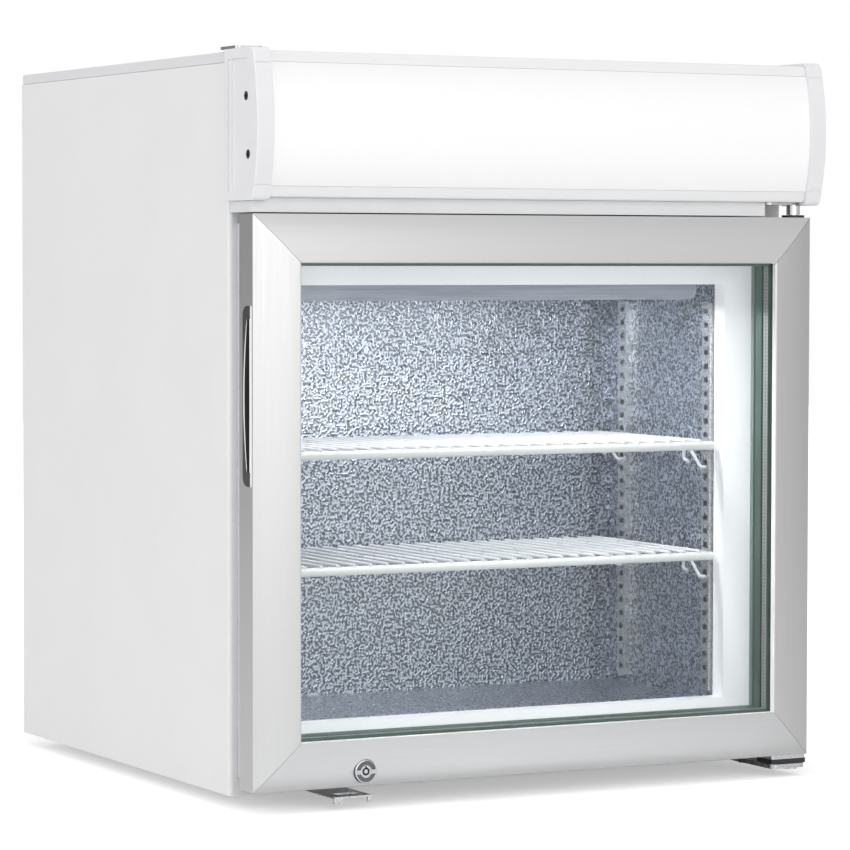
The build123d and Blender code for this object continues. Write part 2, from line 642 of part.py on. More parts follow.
def fan_shroud():
    """The sheet that ducts the fan to the condenser, with the motor's spider."""
    (x0, x1), (y0, _), (z0, z1) = CONDENSER
    x, z = FAN_AT
    back = y0 - 2.2
    plate = block((x0 - 1.5, x1 + 1.5), (back - 1.2, back), (z0 - 3, z1 + 3))
    hole = rod((x, back - 40, z), (x, back + 5, z), FAN_R + 3)
    ring = rod((x, back - 22, z), (x, back, z), FAN_R + 4.5) - hole
    arms = []
    for angle in (45, 135, 225, 315):
        arm = Pos(x, back - 22.2, z) * Rot(0, angle, 0) * block((24, FAN_R + 4.4), (-2, 0.6), (-4, 4))
        arms.append(arm)
    collar = rod((x, back - 24.2, z), (x, back - 22.2, z), 27) - rod((x, back - 40, z), (x, back, z), 18)
    return plate - hole + ring + arms + collar


def fan_motor():
    """The shaded-pole motor behind the fan."""
    (y0, _) = CONDENSER[1]
    x, z = FAN_AT
    back = y0 - 26.4
    body = rod((x, back - 36, z), (x, back, z), 25)
    body = fillet(body.edges().filter_by(GeomType.CIRCLE), 3)
    core = block((x - 30, x + 30), (back - 24, back - 10), (z - 30, z + 30))
    bearing = rod((x, back - 1, z), (x, back + 5, z), 7)
    return body + round_edges(core, Axis.Y, 6) + bearing - rod((x, back - 30, z), (x, back + 6, z), 2.55)


def fan_blade():
    """The five-bladed fan on its shaft."""
    (y0, _) = CONDENSER[1]
    x, z = FAN_AT
    mid = y0 - 12.5
    hub = rod((x, mid - 7, z), (x, mid + 7, z), 15)
    hub = fillet(hub.edges().filter_by(GeomType.CIRCLE), 1.5)
    shaft = rod((x, y0 - 50, z), (x, mid, z), 2.5)
    blades = []
    for i in range(5):
        plate = Pos(40, 0, 0) * Rot(28, 0, 0) * Box(52, 1.6, 30)
        blades.append(Pos(x, mid, z) * Rot(0, 72 * i, 0) * plate)
    trim = rod((x, mid - 9, z), (x, mid + 9, z), FAN_R)
    return (hub + blades) & trim + shaft


def filter_drier():
    """The copper drier between condenser and capillary."""
    x, y = DRIER_AT
    body = rod((x, y, 100), (x, y, 180), 9.5)
    body = fillet(body.edges().filter_by(GeomType.CIRCLE), 6)
    return body + rod((x, y, 94), (x, y, 102), 4) + rod((x, y, 178), (x, y, 188), 2.5)


def refrigerant_tubes():
    """Suction, discharge, liquid and capillary lines as separate tubes."""
    cx, cy = COMPRESSOR_AT
    dx, dy = DRIER_AT
    (x0, _), (y0, y1), (z0, z1) = CONDENSER
    mid = (y0 + y1) / 2
    (ex, ez), (tx, tz) = COIL_ENDS
    exit_y = BULKHEAD + 9
    start, turn = cx + 80, 116
    suction = [(start, cy - 16, 150), (-35, cy - 16, 150), (-35, turn, 150)]
    suction += [(-35, turn, ez), (ex, turn, ez), (ex, exit_y, ez)]
    discharge = [(start, cy + 14, 130), (-45, cy + 14, 130), (-45, cy + 14, z1 - 12)]
    discharge += [(-20, mid, z1 - 12), (x0 - 15, mid, z1 - 12)]
    liquid = [(x0 - 15, mid, z0 + 12), (dx, mid, z0 + 12), (dx, dy, z0 + 12), (dx, dy, 94)]
    capillary = [(dx, dy, 188), (dx, dy, 230), (dx, 120, 230), (dx, 120, tz), (tx, 120, tz), (tx, exit_y, tz)]
    runs = [(suction, TUBE_R, 7), (discharge, TUBE_R, 8), (liquid, TUBE_R, 4.5), (capillary, CAPILLARY_R, 6)]
    return [tube_run(points, radius, bend) for points, radius, bend in runs]


def thermostat():
    """The thermostat's body and threaded collar, behind the rear cover."""
    inside = REAR_PANEL - SHEET
    body = block((CONTROL_X - 19, CONTROL_X + 19), (inside - 42, inside - 4), (KNOB_Z - 14, KNOB_Z + 14))
    body = fillet(body.edges().filter_by(Axis.Y), 3)
    collar = rod((CONTROL_X, inside - 5, KNOB_Z), (CONTROL_X, REAR_PANEL + 2, KNOB_Z), 5)
    lugs = block((CONTROL_X - 19, CONTROL_X + 19), (inside - 4.2, inside), (KNOB_Z - 8, KNOB_Z + 8))
    bore = rod((CONTROL_X, inside - 30, KNOB_Z), (CONTROL_X, REAR_PANEL + 3, KNOB_Z), 3.05)
    return body + lugs + collar - bore


def thermostat_knob():
    """The knurled knob and its shaft."""
    low, high = REAR_PANEL + 2.4, REAR - 0.6
    knob = rod((CONTROL_X, low, KNOB_Z), (CONTROL_X, high, KNOB_Z), 15)
    for i in range(24):
        angle = math.radians(15 * i)
        x, z = CONTROL_X + 15.6 * math.cos(angle), KNOB_Z + 15.6 * math.sin(angle)
        knob -= rod((x, low - 1, z), (x, high - 2, z), 1.3)
    pointer = block((CONTROL_X - 0.8, CONTROL_X + 0.8), (high - 0.8, high + 1), (KNOB_Z + 4, KNOB_Z + 13))
    return knob - pointer + rod((CONTROL_X, REAR_PANEL - 28, KNOB_Z), (CONTROL_X, low + 1, KNOB_Z), 3)


def switch_housing():
    """The light switch's snap-in body with its bezel and pivot holes."""
    x, z = CONTROL_X, SWITCH_Z
    bezel = block((x - 10, x + 10), (REAR_PANEL, REAR_PANEL + 2), (z - 14, z + 14))
    body = block((x - 7, x + 7), (REAR_PANEL - 22, REAR_PANEL + 1), (z - 11, z + 11))
    well = block((x - 5.4, x + 5.4), (REAR_PANEL - 9, REAR_PANEL + 4), (z - 9.8, z + 9.8))
    pivot = rod((x - 6.4, REAR_PANEL - 2, z), (x + 6.4, REAR_PANEL - 2, z), 1.05)
    behind = (REAR_PANEL - 30, REAR_PANEL - 22)
    tabs = [block((x + i - 1, x + i + 1), behind, (z - 3, z + 3)) for i in (-4, 4)]
    return fillet(bezel.edges().filter_by(Axis.Y), 2) + body + tabs - well - pivot


def light_switch_rocker():
    """The rocker, pressed in at its upper half."""
    x, z = CONTROL_X, SWITCH_Z
    face = [(-5, -8.6), (1, -8.6), (3.4, -8.2), (0.6, 0), (3.4, 8.2), (1, 8.6), (-5, 8.6), (-6.5, 0)]
    tilted = Rot(0, 0, 8) * make_face(Polyline(*face, close=True))
    axis_y = REAR_PANEL - 2
    at = Plane(origin=(x - 5, axis_y, z), x_dir=(0, 1, 0), z_dir=(1, 0, 0))
    return extrude(at * tilted, amount=10) + rod((x - 6.2, axis_y, z), (x + 6.2, axis_y, z), 1)


def cable_gland():
    """The gland in the rear cover where the supply lead would come out."""
    x, z = GLAND_AT
    hexagon = extrude(RegularPolygon(11, 6), amount=5)
    flange = Plane(origin=(x, REAR_PANEL, z), x_dir=(1, 0, 0), z_dir=(0, 1, 0)) * hexagon
    nut = Pos(0, -6, 0) * flange
    dome = rod((x, REAR_PANEL + 5, z), (x, REAR_PANEL + 12, z), 8.5)
    dome = fillet(dome.edges().sort_by(Axis.Y)[-1], 3)
    thread = rod((x, REAR_PANEL - 10, z), (x, REAR_PANEL + 1, z), 8)
    bore = rod((x, REAR_PANEL - 12, z), (x, REAR_PANEL + 14, z), 3.6)
    return flange + dome + thread + nut - bore


# ---------------------------------------------------------------- hinges and strike
def top_hinge_bracket():
    """The angle under the canopy that holds the door's top pin."""
    low = CAP_LOW + 0.6
    inner_end = HINGE_X - 38
    arm = block((inner_end, HINGE_X + 10), (HINGE_Y - 11, FRONT), (low, low + 4))
    arm = round_edges(arm, Axis.Z, 8, lambda e: e.center().Y < HINGE_Y)
    web = block((inner_end, HALF_W - 24), (FRONT - 4, FRONT), (low, low + 30))
    return arm + web - rod((HINGE_X, HINGE_Y, low - 1), (HINGE_X, HINGE_Y, low + 5), PIN_R)


def hinge_pins():
    """The top and bottom pins, each with a shoulder against its bracket."""
    low = CAP_LOW + 0.6
    flange = DOOR_TOP + 0.2 + 2.1
    top = rod((HINGE_X, HINGE_Y, flange - 20), (HINGE_X, HINGE_Y, low + 4), PIN_R)
    top += rod((HINGE_X, HINGE_Y, flange + 0.3), (HINGE_X, HINGE_Y, low), 6.2)
    bottom = rod((HINGE_X, HINGE_Y, BASE - 6), (HINGE_X, HINGE_Y, DOOR_LOW + 16), PIN_R)
    bottom += rod((HINGE_X, HINGE_Y, BASE - 6.5), (HINGE_X, HINGE_Y, BASE - 4), 7)
    return [top, bottom]


def hinge_bushes():
    """Black bushes in the door's top and bottom rails, the lower one on a broad wear plate."""
    top_flange = rod((HINGE_X, HINGE_Y, DOOR_TOP), (HINGE_X, HINGE_Y, DOOR_TOP + 2.3), 10.5)
    top = top_flange + rod((HINGE_X, HINGE_Y, DOOR_TOP - 22), (HINGE_X, HINGE_Y, DOOR_TOP + 1), 6)
    low_flange = block(HINGE_PLATE_X, (HINGE_Y - 13.5, HINGE_Y + 11.5), (BASE + 0.4, DOOR_LOW - 3.5))
    low = low_flange + rod((HINGE_X, HINGE_Y, BASE + 1), (HINGE_X, HINGE_Y, DOOR_LOW + 20), 6)
    bore = rod((HINGE_X, HINGE_Y, 0), (HINGE_X, HINGE_Y, TOP), BUSH_R)
    return [top - bore, low - bore]


def bottom_hinge_bracket():
    """The plate under the cabinet that carries the door."""
    plate = block(HINGE_PLATE_X, (FRONT - 49.5, FRONT + 62), (BASE - 4, BASE))
    plate = round_edges(plate, Axis.Z, 6)
    holes = [rod((x, y, 0), (x, y, 30), SCREW_HOLE_R) for x, y in HINGE_SCREWS]
    return plate - holes - rod((HINGE_X, HINGE_Y, 0), (HINGE_X, HINGE_Y, 30), PIN_R)


def door_hinge_plate():
    """The plate under the door that spreads the bottom bush's load."""
    plate = block(HINGE_PLATE_X, (HINGE_Y - 14, HINGE_Y + 12), (DOOR_LOW - 3.5, DOOR_LOW))
    plate = round_edges(plate, Axis.Z, 3)
    return plate - rod((HINGE_X, HINGE_Y, 0), (HINGE_X, HINGE_Y, 40), 6)


def lock_strike():
    """The slotted plate under the cabinet that the lock's cam drops into."""
    plate = block(STRIKE_X, (FRONT - 49.5, FRONT + 60), (BASE - 1.5, BASE))
    lip = block(STRIKE_X, (FRONT - 49.5, FRONT - 48), (BASE - 6, BASE))
    notch = block(STRIKE_SLOT, (FRONT - 50, FRONT - 47), (0, BASE - 1.5))
    slot = block(STRIKE_SLOT, (FRONT - 37, FRONT - 27), (0, 30))
    holes = [rod((x, y, 0), (x, y, 30), SCREW_HOLE_R) for x, y in STRIKE_SCREWS]
    return plate + lip - notch - slot - holes


# ---------------------------------------------------------------- door
def rail_section():
    """The door frame's hollow extrusion: x inwards from the door's edge, y forwards from its back."""
    pocket, lip = 35.2, 30.2
    crown = ThreePointArc((0, RAIL_DEPTH_OUT), (21, 33.4), (RAIL_W, RAIL_DEPTH_IN))
    corners = [(RAIL_W, RAIL_DEPTH_IN), (RAIL_W, lip), (pocket, lip), (pocket, 0), (0, 0)]
    outer = make_face(crown + Polyline(*corners, (0, RAIL_DEPTH_OUT)))
    corner = outer.vertices().sort_by_distance((0, RAIL_DEPTH_OUT, 0))[:1]
    nose = outer.vertices().sort_by_distance((RAIL_W, RAIL_DEPTH_IN, 0))[:1]
    outer = fillet(corner, 1.8)
    outer = fillet(nose, 1.2)
    inner_crown = ThreePointArc((WALL, 25.6), (17, 30.6), (pocket - WALL, 33.2))
    inner_rest = Polyline((pocket - WALL, 33.2), (pocket - WALL, WALL), (WALL, WALL), (WALL, 25.6))
    return outer - make_face(inner_crown + inner_rest)


def handle_outline(inset):
    """The pull's outline on the door's side, in (y, z), rounded at its rear corners."""
    y = (DOOR_BACK - 25.6 + inset, DOOR_BACK - 6.5 - inset)
    z = (BASE + 273 + inset, BASE + 429 - inset)
    face = Pos((y[0] + y[1]) / 2, (z[0] + z[1]) / 2) * Rectangle(y[1] - y[0], z[1] - z[0])
    return fillet(face.vertices().filter_by_position(Axis.X, y[1] - 1, y[1] + 1), 9 - inset)


def scoop_outline(grow, swell=0.0):
    """The bow-shaped opening of the finger pull in (y, z), grown all round and swollen at the bow."""
    front, ends, middle = DOOR_BACK - 21.6 - grow, DOOR_BACK - 16.8 + grow, DOOR_BACK - 11.3 + grow + swell
    low, high = BASE + 285 - grow, BASE + 418 + grow
    bow = ThreePointArc((ends, low), (middle, (low + high) / 2), (ends, high))
    opening = make_face(bow + Polyline((ends, high), (front, high), (front, low), (ends, low)))
    return fillet(opening.vertices(), 2.4)


def handle_insert():
    """The finger pull in the left stile: a flush plate, a raised rim and a scoop deepest in the middle."""
    depth, scoop, reach, rise = 18.5, 16.0, 76.5, 10.0
    radius = (reach**2 + rise**2) / (2 * rise)
    centre_x, middle = -HALF_W + scoop - radius, BASE + 351.5
    body = extrude_x(handle_outline(0.1), -HALF_W + 0.1, -HALF_W + depth)
    rim = extrude_x(scoop_outline(0.6, 1.6), -HALF_W - 0.5, -HALF_W + 3)
    hollow = extrude_x(scoop_outline(0.0), -HALF_W - 1, -HALF_W + depth - 1)
    hollow &= rod((centre_x, DOOR_BACK - 40, middle), (centre_x, DOOR_BACK, middle), radius)
    return body + rim - hollow


def door_frame():
    """The four aluminium members with their cut-outs, by side."""
    bars = door_bars(rail_section(), MITRE_GAP)
    bars["left"] -= extrude_x(handle_outline(0), -HALF_W - 1, -HALF_W + WALL + 0.2)
    lock_hole = rod((LOCK_X, DOOR_BACK - 40, LOCK_Z), (LOCK_X, DOOR_BACK - 20, LOCK_Z), 10.7)
    slot_depth = (DOOR_BACK - 12.5, DOOR_BACK - 7)
    cam_slot = block((LOCK_X - 28, LOCK_X + 5.5), slot_depth, (0, DOOR_LOW + WALL + 0.5))
    pin_holes = rod((HINGE_X, HINGE_Y, 0), (HINGE_X, HINGE_Y, TOP), 6)
    bars["bottom"] = bars["bottom"] - lock_hole - cam_slot - pin_holes
    bars["top"] -= pin_holes
    return bars


def glass_pane(front):
    """One pane of the sealed unit, its front face a given distance ahead of the frame's back."""
    edge = 35.6
    half, depth = HALF_W - edge, (DOOR_BACK - front, DOOR_BACK - front + PANE)
    return block((-half, half), depth, (DOOR_LOW + edge, DOOR_TOP - edge))


def glass_spacers():
    """The two hollow aluminium spacers between the panes."""
    rings = []
    for back, front in ((18.0, 26.0), (PANE, 14.0)):
        rings.append(door_ring(37.6, 7.4, back, front) - door_ring(38.4, 5.8, back + 0.8, front - 0.8))
    return rings


def door_inner_frame():
    """The white plastic frame that holds the glass from behind and carries the gasket."""
    frame = door_ring(6.0, 39.0, -10.0, 0.0)
    step = door_ring(30.0, 16.0, -12.0, -5.0)
    return frame - step


def gasket_section():
    """The magnetic gasket's section: a magnet tube on a bellows, x inwards and y forwards."""
    back = -(DOOR_GAP - 0.4)
    outer = Polyline((8, -10), (8, -13), (10, -16), (8, -18), (8, back), (24, back), (24, -18), (22, -16),
                     (24, -13), (24, -10), close=True)
    magnet = Pos(16, back + 2.6) * Rectangle(13, 3.4)
    bellows = Pos(16, -13.2) * Rectangle(10, 4.2)
    return make_face(outer) - magnet - bellows


def door_gasket():
    """The one-piece gasket ring, welded at its mitred corners."""
    bars = list(door_bars(gasket_section()).values())
    return bars[0] + bars[1:]


def lock_body():
    """The lock's collar and barrel in the bottom rail, its face hollowed above and below two wings."""
    front = DOOR_BACK - 34.4
    body = lock_rod(front, front + 7, 10.5)
    body = fillet(body.edges().sort_by(Axis.Y)[0], 1.2)
    body += lock_rod(front + 6, front + 22, 9)
    body += lock_rod(front + 9.4, front + 11.8, 11.5)
    bore = lock_rod(front - 1, front + 30, CORE_R + 0.05)
    hollow = lock_rod(front - 1, front + 1.1, 9.3) - lock_rod(front - 1, front + 1.1, 5.5)
    wings = block((LOCK_X - 12, LOCK_X + 12), (front - 2, front + 2), (LOCK_Z - 2.2, LOCK_Z + 1.4))
    return body - bore - (hollow - wings)


def lock_rod(front, back, radius):
    """A cylinder on the lock's axis."""
    return rod((LOCK_X, front, LOCK_Z), (LOCK_X, back, LOCK_Z), radius)


def lock_rotor():
    """The lock's turning core: a ring keyway at the front and a squared tail for the cam."""
    front = DOOR_BACK - 34.4 + 0.3
    tail = DOOR_BACK - 7.5
    core = lock_rod(front, DOOR_BACK - 11.6, CORE_R)
    key = lock_rod(front - 1, front + 7, 3.5) - lock_rod(front - 1, front + 8, 1.9)
    notch = block((LOCK_X - 0.9, LOCK_X + 0.9), (front - 1, front + 2), (LOCK_Z + 2, LOCK_Z + 7))
    square = block((LOCK_X - 3, LOCK_X + 3), (DOOR_BACK - 11.6, tail), (LOCK_Z - 3, LOCK_Z + 3))
    return core - key - notch + square


def lock_cam():
    """The cam on the rotor's tail; it points away from the hinges while unlocked."""
    depth = (DOOR_BACK - 11.4, DOOR_BACK - 8.9)
    arm = block((LOCK_X - CAM_REACH, LOCK_X), depth, (LOCK_Z - 3.5, LOCK_Z + 3.5))
    arm = round_edges(arm, Axis.Y, 2, lambda e: e.center().X < LOCK_X - 20)
    eye = rod((LOCK_X, depth[0], LOCK_Z), (LOCK_X, depth[1], LOCK_Z), 7)
    return arm + eye - block((LOCK_X - 3, LOCK_X + 3), (-400, 0), (LOCK_Z - 3, LOCK_Z + 3))


# ---------------------------------------------------------------- assembly
def all_parts():
    """Every sub-part by its node name."""
    left_panel, left_cap = side_panel(), canopy_end()
    hinge_room = block((HINGE_X - 20, CAP_X - 3.2), (HINGE_Y - 14, FRONT + 1), (CAP_LOW - 1, CAP_LOW + 5.6))
    frame = door_frame()
    parts = {
        "side_panel_left": left_panel,
        "side_panel_right": mirror(left_panel, about=Plane.YZ),
        "top_cover": top_cover(),
        "base_pan": base_pan(),
        "header_panel": header_panel(),
        "bulkhead": bulkhead(),
        "insulation_foam": insulation_foam(),
        "liner": liner(),
        "throat_frame": throat_frame(),
        "evaporator_coil": evaporator_coil(),
        "rear_panel": rear_panel(),
        "pan_head_screws": pan_head_screws(),
        "feet": [foot(x, y) for x, y in FEET],
        "canopy_end_left": left_cap,
        "canopy_end_right": mirror(left_cap, about=Plane.YZ) - hinge_room,
        "canopy_top_profile": canopy_top_profile(),
        "canopy_bottom_profile": canopy_bottom_profile(),
        "canopy_diffuser": canopy_diffuser(),
        "led_strips": led_strips(),
        "led_driver": led_driver(),
        "countersunk_screws": countersunk_screws(),
        "header_trim": header_trim(),
        "canopy_clip": canopy_clip(),
        "top_hinge_bracket": top_hinge_bracket(),
        "hinge_pins": hinge_pins(),
        "bottom_hinge_bracket": bottom_hinge_bracket(),
        "lock_strike": lock_strike(),
        "shelf_rails": shelf_rails(),
        "shelf_clips": shelf_clips(),
        "lamp_cover": lamp_cover(),
        "compressor": compressor(),
        "compressor_mounts": compressor_mounts(),
        "condenser": condenser(),
        "fan_motor": fan_motor(),
        "fan_shroud": fan_shroud(),
        "fan_blade": fan_blade(),
        "filter_drier": filter_drier(),
        "refrigerant_tubes": refrigerant_tubes(),
        "thermostat": thermostat(),
        "thermostat_knob": thermostat_knob(),
        "switch_housing": switch_housing(),
        "light_switch_rocker": light_switch_rocker(),
        "cable_gland": cable_gland(),
        "handle_insert": handle_insert(),
        "glass_front": glass_pane(30.0),
        "glass_inner_panes": [glass_pane(18.0), glass_pane(PANE)],
        "glass_spacers": glass_spacers(),
        "door_inner_frame": door_inner_frame(),
        "door_gasket": door_gasket(),
        "hinge_bushes": hinge_bushes(),
        "door_hinge_plate": door_hinge_plate(),
        "lock_body": lock_body(),
        "lock_rotor": lock_rotor(),
        "lock_cam": lock_cam(),
    }
    parts.update({"door_frame_" + side: bar for side, bar in frame.items()})
    parts.update({name: wire_shelf(lift) for name, lift in SHELF_LIFTS.items()})
    return parts


os.makedirs("parts", exist_ok=True)
for name, shape in all_parts().items():
    solids = shape if isinstance(shape, list) else [shape]
    export_step(Compound(children=[s for one in solids for s in one.solids()]), "parts/" + name + ".step")
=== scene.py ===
"""Looks, light and camera of the countertop display freezer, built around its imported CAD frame."""
import math

import bpy
from mathutils import Matrix, Vector


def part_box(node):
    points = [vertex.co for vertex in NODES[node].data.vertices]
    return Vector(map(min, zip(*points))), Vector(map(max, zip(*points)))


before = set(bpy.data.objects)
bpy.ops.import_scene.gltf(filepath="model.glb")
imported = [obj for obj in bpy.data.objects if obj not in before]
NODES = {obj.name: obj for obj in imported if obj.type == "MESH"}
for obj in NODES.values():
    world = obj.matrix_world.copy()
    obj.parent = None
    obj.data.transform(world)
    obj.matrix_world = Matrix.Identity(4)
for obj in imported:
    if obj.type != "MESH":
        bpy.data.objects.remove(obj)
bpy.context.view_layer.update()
SCENE = bpy.context.scene

# Camera, in metres and degrees in the part's frame
CAMERA_AT = (-1.6239, -3.1305, 0.4831)
CAMERA_YAW = 27.669  # from +Y towards +X
CAMERA_PITCH = 2.605  # downwards
CAMERA_ROLL = 0.102
CAMERA_LENS = 156.29

# Colours, linear
WHITE_PAINT = (0.80, 0.80, 0.805)
WHITE_PLASTIC = (0.84, 0.84, 0.86)
CANOPY_PLASTIC = (0.78, 0.78, 0.80)
TRIM_PLASTIC = (0.72, 0.73, 0.745)
CAVITY_PLASTIC = (0.90, 0.90, 0.93)
COVER_PAINT = (0.72, 0.72, 0.74)
INNER_FRAME = (0.17, 0.23, 0.205)
SEALANT_GREEN = (0.115, 0.175, 0.15)
# the pull's pale strip, and the painted highlight behind its scoop
PALE_EDGE = (0.86, 0.86, 0.87)
LIP_WHITE = (0.9, 0.9, 0.9)
NEAR_BLACK = (0.018, 0.018, 0.02)
ALUMINIUM = (0.64, 0.64, 0.643)
STEEL = (0.62, 0.62, 0.63)

# Light
DARK_SIDE = (0.3, 0.954, 0.0)  # the studio is dimmest this way
FRONT_FILL = 0.98
BACK_FILL = 0.2
COOL_WHITE = (0.95, 0.97, 1.0)
FLOOR_REACH = 7.0  # half the side of the studio floor, metres
THROAT_GLOW = 0.16  # emission of the throat frame, for light that the lamps don't give it
EDGE_GLOW = 0.72  # light of a lit panel at its edges, as a share of the middle's

# Pattern sizes, metres
PULL_STRIP = 0.0040  # width of the pale strip along the finger pull
RIM_START = 0.0085  # the painted highlight on the pull's rim starts this far behind its front edge
VENT_PITCH = 0.0034  # holes along the glass spacer
VENT_DEPTH = 0.0042  # holes behind the spacer's front face
VENT_REACH = 0.0013  # half the size of a hole


# ---------------------------------------------------------------- materials
class Finish:
    """A procedural material: one Principled shader, patterned on object coordinates in metres."""

    def __init__(self, name, colour, roughness, metallic=0.0):
        self.material = bpy.data.materials.new(name)
        self.material.use_nodes = True
        self.tree = self.material.node_tree
        self.shader = self.tree.nodes["Principled BSDF"]
        self.output = self.tree.nodes["Material Output"]
        self.colour = colour
        self.place = self.node("ShaderNodeTexCoord").outputs["Object"]
        self.set(**{"Base Color": (*colour, 1.0), "Roughness": roughness, "Metallic": metallic})

    def node(self, kind, **inputs):
        """A new node with its inputs set by name, or linked where a socket is given."""
        made = self.tree.nodes.new(kind)
        for name, value in inputs.items():
            self.feed(made.inputs[name.replace("_", " ")], value)
        return made

    def feed(self, socket, value):
        if isinstance(value, bpy.types.NodeSocket):
            self.tree.links.new(value, socket)
        else:
            socket.default_value = value

    def set(self, **sockets):
        """Sets or links the shader's own sockets by name."""
        for name, value in sockets.items():
            self.feed(self.shader.inputs[name], value)

    def maths(self, operation, *values):
        """One arithmetic step on sockets or numbers."""
        made = self.tree.nodes.new("ShaderNodeMath")
        made.operation = operation
        for socket, value in zip(made.inputs, values):
            self.feed(socket, value)
        return made.outputs[0]

    def ranged(self, source, from_low, from_high, to_low, to_high):
        """Maps a number from one range to another, clamped."""
        made = self.node("ShaderNodeMapRange", Value=source)
        values = {"From Min": from_low, "From Max": from_high, "To Min": to_low, "To Max": to_high}
        for name, value in values.items():
            made.inputs[name].default_value = value
        return made.outputs["Result"]

    def stretched(self, stretch):
        """Object coordinates scaled by axis, so that a pattern runs longer where the factor is small."""
        return self.node("ShaderNodeMapping", Vector=self.place, Scale=stretch).outputs["Vector"]

    def noise(self, size, detail=2.0, stretch=(1.0, 1.0, 1.0), rough=0.5):
        """Noise with features about size metres across."""
        where = self.stretched(stretch)
        made = self.node("ShaderNodeTexNoise", Vector=where, Scale=1 / size, Detail=detail, Roughness=rough)
        return made.outputs["Fac"]

    def between(self, source, low, high):
        """A number that runs from low to high as the source goes from 0.3 to 0.7."""
        return self.ranged(source, 0.3, 0.7, low, high)

    def mixed(self, factor, first, second):
        """A blend of two colours, each a socket or three numbers."""
        made = self.tree.nodes.new("ShaderNodeMix")
        made.data_type = "RGBA"
        self.feed(made.inputs[0], factor)
        for socket, value in zip((made.inputs[6], made.inputs[7]), (first, second)):
            self.feed(socket, (*value, 1.0) if isinstance(value, tuple) else value)
        return made.outputs[2]

    def tint(self, source, amount, other=None):
        """Varies the base colour by a small share, or towards a second colour."""
        other = other or tuple(c * (1 - amount) for c in self.colour)
        blend = self.mixed(self.between(source, 0.0, 1.0), self.colour, other)
        self.set(**{"Base Color": blend})
        return blend

    def rough(self, source, low, high):
        self.set(Roughness=self.between(source, low, high))

    def bump(self, source, height, strength=1.0):
        """Raises the surface by up to height metres where the source is high."""
        made = self.node("ShaderNodeBump", Height=source, Distance=height, Strength=strength)
        self.set(Normal=made.outputs["Normal"])

    def dress(self, *names):
        """Puts this material on CAD nodes."""
        for name in names:
            dress(NODES[name], self.material)


def dress(piece, material):
    """Puts one material on every slot of a piece."""
    if not piece.material_slots:
        piece.data.materials.append(material)
    for slot in piece.material_slots:
        slot.material = material


def painted(name, colour, roughness, *nodes):
    """Powder-coated sheet: faint orange peel and slight changes of gloss."""
    finish = Finish(name, colour, roughness)
    finish.tint(finish.noise(0.09), 0.02)
    finish.rough(finish.noise(0.02, 3.0), roughness - 0.04, roughness + 0.06)
    finish.bump(finish.noise(0.0016, 1.0), 0.00003)
    finish.dress(*nodes)


def moulded(name, colour, roughness, *nodes, glow=0.0):
    """Moulded plastic with a fine spark-eroded grain; glow stands in for light the scene's lamps don't give."""
    finish = Finish(name, colour, roughness)
    finish.set(**{"Emission Color": (0.98, 0.98, 1.0, 1.0), "Emission Strength": glow})
    finish.tint(finish.noise(0.05), 0.03)
    finish.rough(finish.noise(0.01, 4.0), roughness - 0.05, roughness + 0.07)
    finish.bump(finish.noise(0.0007, 2.0), 0.00002)
    finish.dress(*nodes)


def drawn(name, colour, roughness, axis, *nodes):
    """Satin anodised extrusion: hairline grain along the bar, and the lip round the glass coloured white and
    not metallic.
    """
    stretch = tuple(0.006 if i == axis else 1.0 for i in range(3))
    finish = Finish(name, colour, roughness, 1.0)
    grain = finish.noise(0.0006, 3.0, stretch)
    place = finish.node("ShaderNodeSeparateXYZ", Vector=finish.place).outputs
    x = finish.maths("ABSOLUTE", place["X"])
    door_low, door_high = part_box("door_frame_right")
    rail_width = door_high.x - door_low.x
    middle, half_height = (door_low.z + door_high.z) / 2, (door_high.z - door_low.z) / 2
    z = finish.maths("ABSOLUTE", finish.maths("SUBTRACT", place["Z"], middle))
    metal = finish.tint(grain, 0.03)
    past_x = finish.maths("SUBTRACT", x, door_low.x)
    past_z = finish.maths("SUBTRACT", z, half_height - rail_width)
    white_lip = finish.ranged(finish.maths("MAXIMUM", past_x, past_z), 0.0003, 0.0006, 1.0, 0.0)
    metallic = finish.maths("SUBTRACT", 1.0, white_lip)
    finish.set(**{"Base Color": finish.mixed(white_lip, metal, LIP_WHITE), "Metallic": metallic})
    finish.rough(grain, roughness - 0.05, roughness + 0.06)
    finish.bump(grain, 0.000006)
    finish.dress(*nodes)


def sheet_steel(name, colour, roughness, *nodes):
    """Zinc-coated steel: a large soft spangle with small changes of tone."""
    finish = Finish(name, colour, roughness, 1.0)
    cells = finish.node("ShaderNodeTexVoronoi", Vector=finish.place, Scale=90.0)
    tone = finish.node("ShaderNodeSeparateColor", Color=cells.outputs["Color"]).outputs[0]
    finish.tint(tone, 0.05)
    finish.rough(tone, roughness - 0.03, roughness + 0.05)
    finish.bump(finish.noise(0.004, 2.0), 0.00002)
    finish.dress(*nodes)


def plated(name, colour, roughness, *nodes):
    """Turned or pressed and plated steel: fine tool marks."""
    finish = Finish(name, colour, roughness, 1.0)
    marks = finish.noise(0.002, 4.0)
    finish.tint(finish.noise(0.006, 3.0), 0.08)
    finish.rough(marks, max(roughness - 0.05, 0.03), roughness + 0.06)
    finish.bump(marks, 0.000008)
    finish.dress(*nodes)


